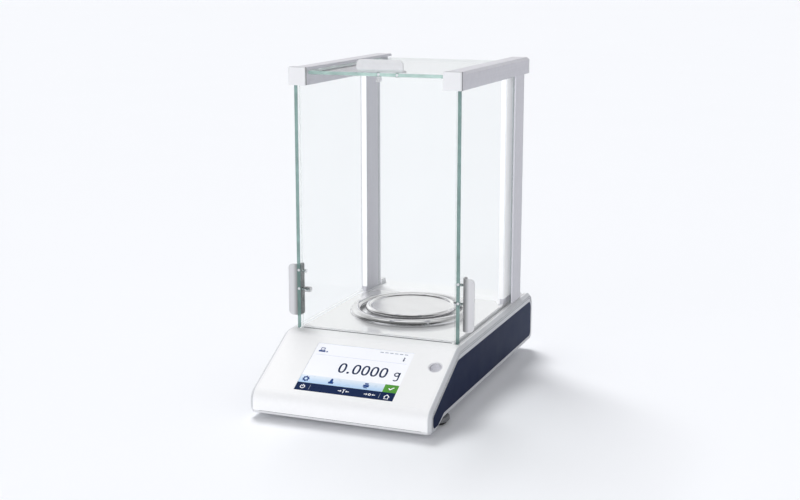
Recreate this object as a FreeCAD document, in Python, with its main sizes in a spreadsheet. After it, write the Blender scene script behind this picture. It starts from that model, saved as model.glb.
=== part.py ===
"""Analytical balance with a glass draft shield.

Frame: +X to the right, +Y to the rear, +Z up; the origin is on the bench, under the centre of the
balance. Lengths are in millimetres. The right-hand pieces are modelled and the left-hand ones mirrored.
"""
import FreeCAD, Part
import collections
import math
import os
import re
import Sketcher

App = FreeCAD
DOC = App.newDocument("analytical_balance")
SHEET = DOC.addObject("Spreadsheet::Sheet", "Sizes")

SIZES = {
    # base
    "base_width": 194, "base_depth": 347, "deck_top": 69, "belly": 10.5, "nose_low": 4, "nose_high": 25.5,
    "knee_front": 90, "nose_back": 157, "throat": 137, "skin": 2.5, "cover_thick": 3.5, "cover_bevel": 2.6,
    "round_rear": 16, "round_slope": 14, "round_nose": 6, "round_belly": 9, "lip_top": 8,
    "inlay_thick": 1.1, "inlay_top": 58.5, "inlay_low": 16.5, "inlay_tip": 9, "inlay_rear": 167,
    "inlay_front": 166.5, "inlay_knee": 95, "inlay_slope_low": 21.3, "inlay_throat": 135.5,
    "inlay_nose": 152, "inlay_round_top": 9, "inlay_round_low": 6, "inlay_round_nose": 5,
    # tray, its screws and the plug of the hook port
    "tray_thick": 3, "rim_front": 130, "rim_rear": 170.4, "rim_thick": 2, "rim_top": 20,
    "fastener_rad": 1.5, "fastener_play": 0.1, "fastener_head_rad": 3, "fastener_head_high": 1.6,
    "fastener_long": 8, "fastener_key_half": 0.9, "shell_boss_rad": 4, "shell_boss_top": 62,
    "fastener_front": 95, "fastener_front_across": 70, "fastener_back": 158, "fastener_back_across": 84,
    "port_rad": 9, "port_ahead": 40, "coin_half": 7, "coin_thick": 0.8, "coin_deep": 1.2,
    # terminal on the slope: distances across and down the slope from the knee
    "overlay_half": 91.5, "overlay_top": 4, "overlay_end": 86, "overlay_thick": 0.5,
    "screen_half": 54, "screen_top": 12, "screen_end": 83, "screen_thick": 1.5, "screen_sunk": 0.6,
    "module_thick": 6, "level_across": 80.5, "level_down": 29.3, "level_rad": 7.6, "level_deep": 9,
    "level_wall": 1.4, "level_play": 0.05, "level_sunk": 0.8, "lens_low": 2.8,
    # weighing chamber
    "floor_half": 85.3, "floor_front": 69.2, "floor_rear": 106, "floor_thick": 1.2,
    "floor_cut_across": 13, "floor_cut_along": 26, "floor_round": 7,
    "pan_back": 26.5, "pan_rad": 50, "pan_low": 76, "pan_rim": 79.2, "pan_thick": 1.5, "bead_wide": 2.8,
    "ring_rad": 67.5, "ring_bore": 56, "ring_high": 77, "ring_crest": 61.5, "ring_wall": 1.2,
    "ring_shoulder": 71.5, "ring_fall": 74, "support_rad": 20, "support_low": 61, "hub_rad": 7,
    "cone_rad": 4, "cone_play": 0.06, "cone_top": 68.2, "spindle_hole": 12.5,
    # draft shield
    "glass": 4, "door_out": 90.8, "door_front": 73, "door_rear": 113, "door_low": 66.5, "door_high": 333.5,
    "front_glass_back": 69.6, "front_glass_half": 85.3, "rear_glass_at": 128, "rear_glass_half": 81.3,
    "pane_high": 336.3, "lid_half": 78.5, "lid_front": 73.8, "lid_rear": 134, "lid_low": 336.8,
    "lid_thick": 3.5, "lid_play": 0.5, "lid_side_play": 0.7,
    "rail_top": 344, "rail_low": 325.7, "rail_in": 74.1, "rail_out": 93.1, "rail_front": 69,
    "rail_back": 150, "rail_step": 0.3, "rail_end": 4.4, "rail_bevel": 2.5, "rail_end_round": 3.6,
    "cap_out": 93.5, "cap_front": 82, "cap_deep": 8, "cap_round": 2.2, "cap_edge": 0.8,
    "column_in": 81.5, "column_out": 86.1, "column_front": 92, "column_rear": 136, "column_round": 0.8,
    "column_foot_high": 1.6, "column_foot_wide": 1.5, "column_foot_long": 14, "column_block_high": 6,
    "leg_in": 91.3, "leg_out": 92.9, "leg_front": 104, "leg_round": 0.6,
    "track_in": 85.5, "track_out": 92.4, "track_slot_in": 86.4, "track_slot_out": 91.2, "track_low": 64,
    "track_floor": 66, "track_top": 69.6, "track_front": 77, "track_rear": 157,
    # door handles
    "grip_long": 55.5, "grip_thick": 2, "grip_out": 13, "grip_foot": 12, "grip_mid": 107.7,
    "grip_front": 67, "lid_grip_long": 50, "lid_grip_side": 3.4, "grip_bend": 5, "grip_corner": 4.5,
    "grip_foot_corner": 2.5, "lid_grip_back": 2, "peg_rad": 3,
    "peg_long": 6, "peg_back": 6.5, "screw_rad": 2, "screw_up": 20, "screw_proud": 1.2, "shank_rad": 1.5,
    "shank_play": 0.05,
    # feet
    "foot_across": 83, "foot_front": 121, "foot_pad_rad": 11, "foot_pad_high": 3, "wheel_rad": 14,
    "wheel_low": 3.2, "wheel_high": 8.2, "thread_rad": 3, "thread_play": 0.08, "spindle_top": 30,
    "insert_rad": 5, "insert_top": 24, "boss_rad": 8, "back_foot_across": 66, "back_foot_back": 140,
    "back_foot_rad": 9, "foot_edge": 1,
    # weighing cell
    "plate_half": 40, "plate_front": 10, "plate_rear": 155, "plate_thick": 4, "cell_half": 20,
    "cell_front": 16, "cell_rear": 118, "cell_high": 55, "hinge_gap": 2, "guide_low": 26, "guide_high": 44,
    "load_end": 37, "fixed_end": 96, "lever_half": 5, "lever_low": 32, "lever_high": 38,
    "lever_front": 42, "lever_rear": 150, "strip_half": 4, "strip_thick": 1, "magnet_back": 138,
    "magnet_rad": 15, "magnet_high": 30, "pot_floor": 20, "coil_low": 22, "coil_rad": 10, "coil_wall": 1.2,
    "pole_rad": 7.5, "flange_rad": 8, "flange_high": 3,
    # circuit board, with a strip along the rear wall for the sockets
    "board_in": 46, "board_out": 84, "board_front": 20, "board_rear": 153.5, "board_top": 24.2,
    "board_thick": 1.6, "strip_left": 79, "strip_right": 20, "strip_front": 153.5, "strip_rear": 170.5,
    "post_rad": 3, "post_inset": 4,
    # sockets at the rear
    "socket_low": 24, "socket_deep": 14, "socket_play": 0.2, "socket_sunk": 0.3, "contact_sunk": 1.5,
    "jack_across": 70, "jack_half": 5, "jack_top": 36, "jack_mouth_rad": 3.2, "jack_pin_rad": 1,
    "mouth_deep": 10,
}


def fill_sheet():
    for row, (alias, value) in enumerate(SIZES.items(), start=1):
        SHEET.set("A%d" % row, alias)
        SHEET.set("B%d" % row, str(value))
        SHEET.setAlias("B%d" % row, alias)
    DOC.recompute()


def bound(text):
    """The expression with every sheet alias spelled as the sheet's own cell."""
    return re.sub(r"[a-z][a-z_]*", lambda m: ("Sizes." if m.group() in SIZES else "") + m.group(), str(text))


def value(text):
    """The number that an expression over the sheet comes to."""
    result = SHEET.evalExpression(bound(text).replace("Sizes.", ""))
    return float(getattr(result, "Value", result))


def bind(thing, path, text):
    thing.setExpression(path, bound(text))


def put(thing, x="0", y="0", z="0"):
    """Binds where a thing stands."""
    for axis, text in zip("xyz", (x, y, z)):
        bind(thing, "Placement.Base." + axis, text)
    return thing


# ---------------------------------------------------------------- simple solids and booleans
def box(name, x, y, z):
    """A block between two limits on each axis, each limit an expression."""
    block = DOC.addObject("Part::Box", name)
    for side, (low, high) in zip(("Length", "Width", "Height"), (x, y, z)):
        bind(block, side, "(%s) - (%s)" % (high, low))
    return put(block, x[0], y[0], z[0])


def rod(name, radius, x, y, z):
    """An upright round bar between two heights."""
    bar = DOC.addObject("Part::Cylinder", name)
    bind(bar, "Radius", radius)
    bind(bar, "Height", "(%s) - (%s)" % (z[1], z[0]))
    return put(bar, x, y, z[0])


def rod_along_x(name, radius, x, y, z):
    """A round bar that lies along X between two limits."""
    bar = DOC.addObject("Part::Cylinder", name)
    bind(bar, "Radius", radius)
    bind(bar, "Height", "(%s) - (%s)" % (x[1], x[0]))
    bar.Placement = App.Placement(App.Vector(), App.Rotation(App.Vector(0, 1, 0), 90))
    return put(bar, x[0], y, z)


def rod_along_y(name, radius, x, y, z):
    """A round bar that lies along Y between two limits."""
    bar = DOC.addObject("Part::Cylinder", name)
    bind(bar, "Radius", radius)
    bind(bar, "Height", "(%s) - (%s)" % (y[1], y[0]))
    bar.Placement = App.Placement(App.Vector(), App.Rotation(App.Vector(1, 0, 0), -90))
    return put(bar, x, y[0], z)


def fuse(name, pieces):
    joined = DOC.addObject("Part::MultiFuse", name)
    joined.Shapes = pieces
    joined.Refine = True
    return joined


def cut(name, base, tools):
    tool = tools[0] if len(tools) == 1 else fuse(name + "_tools", tools)
    result = DOC.addObject("Part::Cut", name)
    result.Base = base
    result.Tool = tool
    return result


def group(name, pieces):
    """Identical pieces kept as separate solids of one node."""
    together = DOC.addObject("Part::Compound", name)
    together.Links = pieces
    return together


def mirrored(name, source):
    """The left-hand twin of a right-hand piece."""
    twin = DOC.addObject("Part::Mirroring", name)
    twin.Source = source
    twin.Normal = App.Vector(1, 0, 0)
    return twin


# ---------------------------------------------------------------- bodies with sketches
PLANES = {"XY": "XY_Plane", "XZ": "XZ_Plane", "YZ": "YZ_Plane"}


def attach(body, sketch, plane, offset):
    """Lays a sketch on one of the body's own origin planes, moved along that plane's normal."""
    planes = [item for item in body.Origin.OriginFeatures if item.Role == PLANES[plane]]
    sketch.AttachmentSupport = [(item, "") for item in planes]
    sketch.MapMode = "FlatFace"
    bind(sketch, "AttachmentOffset.Base.z", offset)


def outline(body, name, plane, corners, offset="0"):
    """A closed straight-sided sketch whose corners are bound to the sheet."""
    sketch = body.newObject("Sketcher::SketchObject", name)
    attach(body, sketch, plane, offset)
    points = [App.Vector(value(across), value(up), 0) for across, up in corners]
    count = len(points)
    for index, point in enumerate(points):
        sketch.addGeometry(Part.LineSegment(point, points[(index + 1) % count]), False)
    for index in range(count):
        sketch.addConstraint(Sketcher.Constraint("Coincident", index, 2, (index + 1) % count, 1))
    for index, (across, up) in enumerate(corners):
        spot = points[index]
        for kind, text, number in (("DistanceX", across, spot.x), ("DistanceY", up, spot.y)):
            place = sketch.addConstraint(Sketcher.Constraint(kind, -1, 1, index, 1, number))
            bind(sketch, "Constraints[%d]" % place, text)
    return sketch


def prism(name, plane, corners, start, long):
    """A body padded from a sketch: start is the sketch plane's place, long the pad's length.

    The pad runs towards +X from a YZ sketch, +Y from an XZ sketch and +Z from an XY sketch.
    """
    body = DOC.addObject("PartDesign::Body", name)
    backwards = plane == "XZ"
    sketch = outline(body, name + "_outline", plane, corners, "-(%s)" % start if backwards else start)
    pad = body.newObject("PartDesign::Pad", name + "_pad")
    pad.Profile = sketch
    pad.Reversed = backwards
    bind(pad, "Length", long)
    body.Tip = pad
    DOC.recompute()
    return body


def pocket(body, name, plane, corners, start, deep):
    """Cuts a sketch out of a body, on the side that its pad would be, and makes sure that it cuts."""
    before = body.Shape.Volume
    backwards = plane == "XZ"
    sketch = outline(body, name + "_outline", plane, corners, "-(%s)" % start if backwards else start)
    hollow = body.newObject("PartDesign::Pocket", name)
    hollow.Profile = sketch
    hollow.Reversed = not backwards
    bind(hollow, "Length", deep)
    body.Tip = hollow
    DOC.recompute()
    if body.Shape.Volume > before - 1e-3:
        raise RuntimeError(name + " cuts nothing")
    return body


def turned(name, corners, x="0", y="0"):
    """A body of revolution about an upright axis: corners are radius and height."""
    body = DOC.addObject("PartDesign::Body", name)
    sketch = outline(body, name + "_outline", "XZ", corners)
    spin = body.newObject("PartDesign::Revolution", name + "_turn")
    spin.Profile = sketch
    spin.ReferenceAxis = (sketch, ["V_Axis"])
    spin.Angle = 360
    body.Tip = spin
    put(body, x, y)
    DOC.recompute()
    return body


def bow(centre, height, wide, rise, first, last):
    """Corners along an elliptical quarter arc of a turned outline, between two angles in degrees."""
    steps = 6
    corners = []
    for step in range(steps + 1):
        turn = math.radians(first + (last - first) * step / steps)
        reach = "%s + (%s) * %.5f" % (centre, wide, math.cos(turn))
        lift = "%s + (%s) * %.5f" % (height, rise, math.sin(turn))
        corners.append((reach, lift))
    return corners


def middle(edge):
    return edge.valueAt((edge.FirstParameter + edge.LastParameter) / 2)


def soften(body, kind, size, wanted):
    """Adds a Fillet or Chamfer to the body's edges that the wanted test picks."""
    names = ["Edge%d" % (i + 1) for i, edge in enumerate(body.Shape.Edges) if wanted(edge)]
    if not names:
        raise RuntimeError(body.Label + " has no such edges")
    last = body.Tip
    dressing = body.newObject("PartDesign::" + kind, "%s_%s%d" % (body.Name, kind.lower(), len(body.Group)))
    dressing.Base = (last, names)
    bind(dressing, "Radius" if kind == "Fillet" else "Size", size)
    body.Tip = dressing
    DOC.recompute()


def along(axis, places, near=0.6):
    """Picks straight edges along an axis whose other two coordinates are at one of the places."""
    index = "xyz".index(axis)
    others = [i for i in range(3) if i != index]

    def wanted(edge):
        if edge.Curve.TypeId != "Part::GeomLine" or abs(edge.tangentAt(edge.FirstParameter)[index]) < 0.999:
            return False
        spot = middle(edge)
        return any(abs(spot[others[0]] - a) < near and abs(spot[others[1]] - b) < near for a, b in places)

    return wanted


# ---------------------------------------------------------------- the slope of the terminal
def slope_angle():
    fall = value("deck_top - nose_high")
    run = value("base_depth/2 - knee_front")
    return math.degrees(math.atan2(fall, run))


def slope_spot(across, down, rise):
    """The point that lies so far across and down the slope from the knee, and so far above its face."""
    angle = math.radians(slope_angle())
    back = -value("knee_front") - down * math.cos(angle) - rise * math.sin(angle)
    up = value("deck_top") - down * math.sin(angle) + rise * math.cos(angle)
    return App.Vector(across, back, up)


def slope_turn():
    return App.Rotation(App.Vector(1, 0, 0), slope_angle())


def slope_slab(name, half, top, end, low, high):
    """A slab in the slope's own directions: half its width, from top down to end, between two rises."""
    slab = DOC.addObject("Part::Box", name)
    bind(slab, "Length", "2 * (%s)" % half)
    bind(slab, "Width", "(%s) - (%s)" % (end, top))
    bind(slab, "Height", "(%s) - (%s)" % (high, low))
    slab.Placement = App.Placement(slope_spot(-value(half), value(end), value(low)), slope_turn())
    return slab


def slope_rod(name, radius, low, high):
    """A round bar square to the slope, at the level's place."""
    bar = DOC.addObject("Part::Cylinder", name)
    bind(bar, "Radius", radius)
    bind(bar, "Height", "(%s) - (%s)" % (high, low))
    spot = slope_spot(value("level_across"), value("level_down"), value(low))
    bar.Placement = App.Placement(spot, slope_turn())
    return bar


# ---------------------------------------------------------------- base
BASE_OUTLINE = [
    ("-base_depth/2", "nose_low"), ("-nose_back", "nose_low"), ("-throat", "belly"),
    ("base_depth/2", "belly"), ("base_depth/2", "deck_top"), ("-knee_front", "deck_top"),
    ("-base_depth/2", "nose_high"),
]


def base_prism(name, start, long):
    """The base's side outline as a slice across X, with its rounded corners."""
    body = prism(name, "YZ", BASE_OUTLINE, start, long)
    rear, nose = value("base_depth/2"), -value("base_depth/2")
    deck, belly, low = value("deck_top"), value("belly"), value("nose_low")
    soften(body, "Fillet", "round_rear", along("x", [(rear, deck)]))
    slope_ends = [(-value("knee_front"), deck), (nose, value("nose_high"))]
    soften(body, "Fillet", "round_slope", along("x", slope_ends))
    soften(body, "Fillet", "round_belly", along("x", [(rear, belly), (-value("throat"), belly)]))
    soften(body, "Fillet", "round_nose", along("x", [(nose, low), (-value("nose_back"), low)]))
    return body


FASTENER_ROWS = (("fastener_front_across", "-fastener_front"), ("fastener_back_across", "fastener_back"))
FASTENER_SPOTS = [(side + across, back) for across, back in FASTENER_ROWS for side in ("", "-")]


def upper_housing():
    """White moulded shell: sloped terminal face, flat deck, rear wall and screw bosses, open underneath."""
    inner = "base_width/2 - cover_thick - skin"
    shell = base_prism("housing_shell", "-(base_width/2 - cover_thick)", "base_width - 2*cover_thick")
    front = "-(base_depth/2 - skin)"
    rear = "base_depth/2 - skin"
    hollow = [
        (front, "nose_low - 5"), (rear, "nose_low - 5"), (rear, "deck_top - round_rear"),
        (rear + " - 4", "deck_top - skin - 4.6"), ("base_depth/2 - round_rear", "deck_top - skin"),
        ("-knee_front + 0.6", "deck_top - skin"), (front + " + 8", "nose_high + 2.6"),
        (front, "nose_high - 8"),
    ]
    pocket(shell, "housing_hollow", "YZ", hollow, "-(%s)" % inner, "2*(%s)" % inner)
    bosses, bores = [], []
    for index, spot in enumerate(FASTENER_SPOTS):
        foot = "belly + tray_thick + 0.2"
        bosses.append(rod("shell_boss%d" % index, "shell_boss_rad", *spot, (foot, "shell_boss_top")))
        bores.append(rod("shell_boss_bore%d" % index, "fastener_rad + fastener_play/2", *spot,
                         ("belly", "belly + fastener_long + 3")))
    half = "base_width/2"
    below = box("below_housing", ("-" + half, half), ("-base_depth", "base_depth"), ("0", "lip_top"))
    behind = box("behind_lip", ("-" + half, half), (front, "base_depth"), ("0", "belly + tray_thick + 0.2"))
    face = slope_slab("overlay_bed", "overlay_half", "overlay_top", "overlay_end", "-overlay_thick", "5")
    window = slope_slab("screen_bed", "screen_half", "screen_top", "screen_end", "-8", "5")
    level_hole = slope_rod("level_hole", "level_rad + level_play", "-12", "5")
    spindle = rod("spindle_way", "spindle_hole + 1", "0", "pan_back", ("deck_top - 10", "deck_top + 5"))
    slots = [
        box("track_slot_" + side, limits, ("-track_front", "base_depth/2 + 1"), ("track_low", "deck_top + 5"))
        for side, limits in (("right", ("track_in", "track_out")), ("left", ("-track_out", "-track_in")))
    ]
    ways = [jack_space("jack_way", "0")] + [socket_space(row.name + "_way", row, "0") for row in FLAT_SOCKETS]
    tools = [below, behind, face, window, level_hole, spindle] + bores + slots + ways
    return [cut("upper_housing", fuse("bossed_shell", [shell] + bosses), tools)]


def lower_housing():
    """Bottom tray: skin that follows the underside, a rim inside the shell and bosses for the feet."""
    half = "base_width/2 - cover_thick - 0.2"
    skin = prism("tray_skin", "YZ", [
        ("-base_depth/2 + 0.8", "nose_low + 0.4"), ("-nose_back", "nose_low + 0.4"), ("-throat", "belly"),
        ("base_depth/2 - skin - 0.4", "belly"), ("base_depth/2 - skin - 0.4", "belly + tray_thick"),
        ("-throat - 2", "belly + tray_thick"), ("-nose_back", "lip_top - 0.1"),
        ("-base_depth/2 + 0.8", "lip_top - 0.1"),
    ], "-(%s)" % half, "2*(%s)" % half)
    soften(skin, "Fillet", "2.4", along("x", [(-value("base_depth/2 - 0.8"), value("nose_low + 0.4"))]))
    inside = "base_width/2 - cover_thick - skin - 0.4"
    within = "%s - rim_thick" % inside
    outer = box("tray_rim_outside", ("-(%s)" % inside, inside), ("-rim_front", "rim_rear"),
                ("belly + 2", "rim_top"))
    hollow = box("tray_rim_inside", ("-(%s)" % within, within),
                 ("-rim_front + rim_thick", "rim_rear - rim_thick"), ("belly + 1", "rim_top + 1"))
    solids, holes = [skin, cut("tray_rim", outer, [hollow])], []
    for side, sign in (("right", ""), ("left", "-")):
        spot = (sign + "foot_across", "-foot_front")
        solids.append(rod("foot_boss_" + side, "boss_rad", *spot, ("belly + 1", "insert_top")))
        holes.append(rod("foot_bore_" + side, "insert_rad", *spot, ("belly - 5", "insert_top + 5")))
    holes.append(rod("hook_port", "port_rad", "0", "pan_back - port_ahead", ("belly - 5", "belly + 9")))
    head_top = "belly + 0.2 + fastener_head_high"
    for index, spot in enumerate(FASTENER_SPOTS):
        holes.append(rod("head_bore%d" % index, "fastener_head_rad + 0.2", *spot, ("belly - 5", head_top)))
        holes.append(rod("shank_bore%d" % index, "fastener_rad + fastener_play", *spot,
                         ("belly - 5", "belly + 9")))
    return [cut("lower_housing", fuse("tray", solids), holes)]


def housing_screws():
    """Four screws with square keyways that hold the tray to the shell's bosses."""
    screws = []
    low = "belly + 0.2"
    top = low + " + fastener_head_high"
    key_half = "fastener_key_half"
    for index, (x, y) in enumerate(FASTENER_SPOTS):
        head = rod("screw_head%d" % index, "fastener_head_rad", x, y, (low, top))
        shank = rod("screw_shank%d" % index, "fastener_rad", x, y, (top, "belly + fastener_long"))
        key = box("screw_key%d" % index, (x + " - " + key_half, x + " + " + key_half),
                  (y + " - " + key_half, y + " + " + key_half), ("belly", "belly + 1.2"))
        screws.append(cut("housing_screw%d" % index, fuse("screw%d" % index, [head, shank]), [key]))
    return [group("housing_screws", screws)]


def hook_cover():
    """Round plug in the tray over the hook for weighing below the bench, with a coin slot."""
    centre = "pan_back - port_ahead"
    plug = rod("hook_plug", "port_rad", "0", centre, ("belly", "belly + tray_thick"))
    slot = box("coin_slot", ("-coin_half", "coin_half"), (centre + " - coin_thick", centre + " + coin_thick"),
               ("belly - 1", "belly + coin_deep"))
    return [cut("hook_cover", plug, [slot])]


INLAY_OUTLINE = [
    ("-inlay_front", "inlay_tip"), ("-inlay_nose", "inlay_tip"), ("-inlay_throat", "inlay_low"),
    ("inlay_rear", "inlay_low"), ("inlay_rear", "inlay_top"), ("-inlay_knee", "inlay_top"),
    ("-inlay_front", "inlay_slope_low"),
]


def inlay_rounds(body):
    rear, front = value("inlay_rear"), -value("inlay_front")
    top, low, tip = value("inlay_top"), value("inlay_low"), value("inlay_tip")
    soften(body, "Fillet", "inlay_round_top", along("x", [(rear, top), (-value("inlay_knee"), top)]))
    soften(body, "Fillet", "inlay_round_low", along("x", [(rear, low), (-value("inlay_throat"), low)]))
    nose = [(front, tip), (-value("inlay_nose"), tip), (front, value("inlay_slope_low"))]
    soften(body, "Fillet", "inlay_round_nose", along("x", nose))


def side_pieces():
    """Grey side cover with a bevelled rim, and the coloured inlay that fills its recess."""
    cover = base_prism("side_cover_blank", "base_width/2 - cover_thick", "cover_thick")
    outer = value("base_width/2")
    soften(cover, "Chamfer", "cover_bevel", lambda edge: abs(middle(edge).x - outer) < 0.01)
    recess = prism("inlay_recess", "YZ", INLAY_OUTLINE, "base_width/2 - inlay_thick", "inlay_thick + 1")
    inlay_rounds(recess)
    inlay = prism("right_side_inlay", "YZ", INLAY_OUTLINE, "base_width/2 - inlay_thick", "inlay_thick - 0.1")
    inlay_rounds(inlay)
    right = cut("right_side_cover", cover, [recess])
    return [right, mirrored("left_side_cover", right), inlay, mirrored("left_side_inlay", inlay)]


def terminal():
    """Thin overlay on the slope, the touch screen in its window and the display module behind it."""
    sheet = slope_slab("overlay_sheet", "overlay_half - 0.1", "overlay_top + 0.1", "overlay_end - 0.1",
                       "-overlay_thick", "0")
    window = slope_slab("overlay_window", "screen_half - 0.8", "screen_top + 0.8", "screen_end - 0.8",
                        "-5", "5")
    hole = slope_rod("overlay_level_hole", "level_rad", "-12", "5")
    overlay = cut("terminal_overlay", sheet, [window, hole])
    under = "-overlay_thick - screen_sunk"
    screen = slope_slab("touch_screen", "screen_half - 0.2", "screen_top + 0.2", "screen_end - 0.2",
                        under + " - screen_thick", under + " + 0.6")
    module = slope_slab("display_module", "screen_half - 2", "screen_top + 2", "screen_end - 2",
                        under + " - screen_thick - module_thick", under + " - screen_thick")
    return [overlay, screen, module]


def level():
    """Round spirit level: a cup with a seat, closed by a lens."""
    inside = "level_rad - level_wall"
    cup = cut("level_cup", slope_rod("level_cup_outside", "level_rad", "-level_deep", "-level_sunk"),
              [slope_rod("level_cup_inside", inside, "-level_deep + 1.5", "1")])
    lens = slope_rod("level_lens", inside, "-lens_low", "-level_sunk")
    return [cup, lens]


# ---------------------------------------------------------------- sockets at the rear
# across, half width and top of the block; half width and height of its mouth and of the tongue in it
SOCKET_FIELDS = "name across half top mouth_half mouth_high tongue_half tongue_high"
FlatSocket = collections.namedtuple("FlatSocket", SOCKET_FIELDS)
FLAT_SOCKETS = [
    FlatSocket("serial_port", "-40", "15.5", "36", "8.5", "8", "7.5", "6"),
    FlatSocket("usb_device_port", "-12", "6.2", "35", "4.2", "7.4", "2.8", "3.2"),
    FlatSocket("usb_host_port", "10", "7.2", "31", "6.4", "4.8", "5.4", "1.8"),
]


def jack_space(name, inset):
    """The power inlet's outline through the rear wall, or its block a little inside that."""
    limits = ("-jack_across - jack_half + " + inset, "-jack_across + jack_half - " + inset)
    return box(name, limits, socket_reach(inset), ("socket_low + " + inset, "jack_top - " + inset))


def socket_space(name, row, inset):
    """The same for a socket with a flat mouth."""
    limits = ("%s - %s + %s" % (row.across, row.half, inset), "%s + %s - %s" % (row.across, row.half, inset))
    return box(name, limits, socket_reach(inset), ("socket_low + " + inset, row.top + " - " + inset))


def socket_reach(inset):
    """A way through the wall has no inset; a block reaches in from just under the wall's face."""
    if inset == "0":
        return ("base_depth/2 - skin - 1", "base_depth/2 + 1")
    return ("base_depth/2 - socket_deep", "base_depth/2 - socket_sunk")


def flat_socket(row):
    """A block with a rectangular mouth and the insulator of its contacts standing inside it."""
    floor = "base_depth/2 - mouth_deep"
    centre = "(socket_low + %s)/2" % row.top

    def space(part, half, high, reach):
        return box(row.name + part, ("%s - %s" % (row.across, half), "%s + %s" % (row.across, half)), reach,
                   ("%s - %s/2" % (centre, high), "%s + %s/2" % (centre, high)))

    mouth = space("_mouth", row.mouth_half, row.mouth_high, (floor, "base_depth/2 + 1"))
    tongue = space("_tongue", row.tongue_half, row.tongue_high,
                   (floor + " - 0.5", "base_depth/2 - contact_sunk"))
    shell = cut(row.name + "_shell", socket_space(row.name + "_block", row, "socket_play"), [mouth])
    return fuse(row.name, [shell, tongue])


def sockets():
    """Power inlet, nine-pole serial socket and two USB sockets, standing on the circuit board."""
    middle_up = "(socket_low + jack_top)/2"
    mouth = rod_along_y("jack_mouth", "jack_mouth_rad", "-jack_across",
                        ("base_depth/2 - mouth_deep", "base_depth/2 + 1"), middle_up)
    pin = rod_along_y("jack_pin", "jack_pin_rad", "-jack_across",
                      ("base_depth/2 - mouth_deep - 0.5", "base_depth/2 - contact_sunk"), middle_up)
    jack = fuse("dc_jack", [cut("jack_shell", jack_space("jack_block", "socket_play"), [mouth]), pin])
    return [jack] + [flat_socket(row) for row in FLAT_SOCKETS]


# ---------------------------------------------------------------- weighing chamber
def floor_plate():
    """Lift-out plate on the deck, its rear corners cut back round the columns."""
    short = "floor_rear - floor_cut_along"
    narrow = "floor_half - floor_cut_across"
    plate = prism("floor_blank", "XY", [
        ("-floor_half", "-floor_front"), ("floor_half", "-floor_front"), ("floor_half", short),
        (narrow, "floor_rear"), ("-(%s)" % narrow, "floor_rear"), ("-floor_half", short),
    ], "deck_top", "floor_thick")
    corners = [(value("floor_half"), value(short)), (value(narrow), value("floor_rear"))]
    corners += [(-across, back) for across, back in corners]
    soften(plate, "Fillet", "floor_round", along("z", corners))
    way = rod("floor_way", "spindle_hole", "0", "pan_back", ("deck_top - 5", "deck_top + 5"))
    return [cut("floor_plate", plate, [way])]


def weighing_pan():
    """Round pan: flat disc, shallow valley and a raised bead rolled round its rim."""
    centre = "pan_rad - bead_wide"
    crown = "pan_rim - pan_low"
    rim = bow(centre, "pan_low", "bead_wide", crown, 0, 90)
    fall = bow(centre, "pan_low + pan_thick", "bead_wide", crown + " - pan_thick", 90, 180)[1:]
    disc = turned("weighing_pan", [
        ("0", "pan_low"), ("pan_rad - 3", "pan_low"), ("pan_rad - 0.8", "pan_low - 1.4"),
        ("pan_rad", "pan_low - 1"), *rim, *fall, ("0", "pan_low + pan_thick"),
    ], y="pan_back")
    return [disc]


def pan_support():
    """Carrier under the pan: a round hub with a blind socket that drops on the load cone."""
    bore, roof = "cone_rad + cone_play", "cone_top + 0.2"
    hub = turned("pan_support", [
        (bore, "support_low"), ("hub_rad", "support_low"), ("hub_rad", "pan_low - 2.5"),
        ("support_rad", "pan_low - 1.6"), ("support_rad", "pan_low"), ("0", "pan_low"), ("0", roof),
        (bore, roof),
    ], y="pan_back")
    return [hub]


def wind_ring():
    """Pressed ring round the pan: it bows up from the floor to a round crest and falls inside."""
    low = "deck_top + floor_thick"
    outer = bow("ring_crest", "ring_shoulder", "ring_rad - ring_crest", "ring_high - ring_shoulder", 0, 90)
    inner = bow("ring_crest", "ring_fall", "ring_crest - ring_bore", "ring_high - ring_fall", 90, 180)
    under_inner = bow("ring_crest", "ring_fall", "ring_crest - ring_bore - ring_wall",
                      "ring_high - ring_fall - ring_wall", 180, 90)
    under_outer = bow("ring_crest", "ring_shoulder", "ring_rad - ring_crest - ring_wall",
                      "ring_high - ring_shoulder - ring_wall", 90, 0)
    ring = turned("wind_ring", [
        ("ring_rad", low), *outer, *inner[1:], ("ring_bore", "ring_fall - 1"),
        ("ring_bore + ring_wall", "ring_fall - 1"), *under_inner, *under_outer[1:],
        ("ring_rad - ring_wall", low),
    ], y="pan_back")
    return [ring]


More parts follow.
